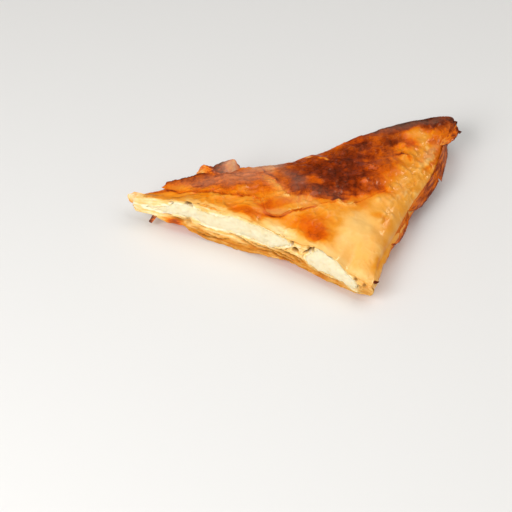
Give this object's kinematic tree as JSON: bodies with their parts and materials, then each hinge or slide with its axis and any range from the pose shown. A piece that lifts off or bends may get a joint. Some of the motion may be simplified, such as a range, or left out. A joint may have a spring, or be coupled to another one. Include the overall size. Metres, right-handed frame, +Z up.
{
  "type": "tiropita",
  "caption": "Half of a triangular cheese pie in browned filo pastry, cut open so that its white cheese filling shows.",
  "frame": {"origin": "middle of the half pie's box, on the plane that its base rests on", "axes": "+X along the cut from the sharp corner to the square corner, +Y from the cut face into the food, +Z up"},
  "size_m": [0.1264, 0.1262, 0.0255],
  "materials": {
    "pastry": "baked filo pastry, golden to dark brown, slightly glossy with butter",
    "cheese": "moist white cheese, crumbly"
  },
  "bodies": {
    "root": {"pastry": "pastry", "cheese_long": "cheese", "cheese_short": "cheese"}
  },
  "joints": []
}
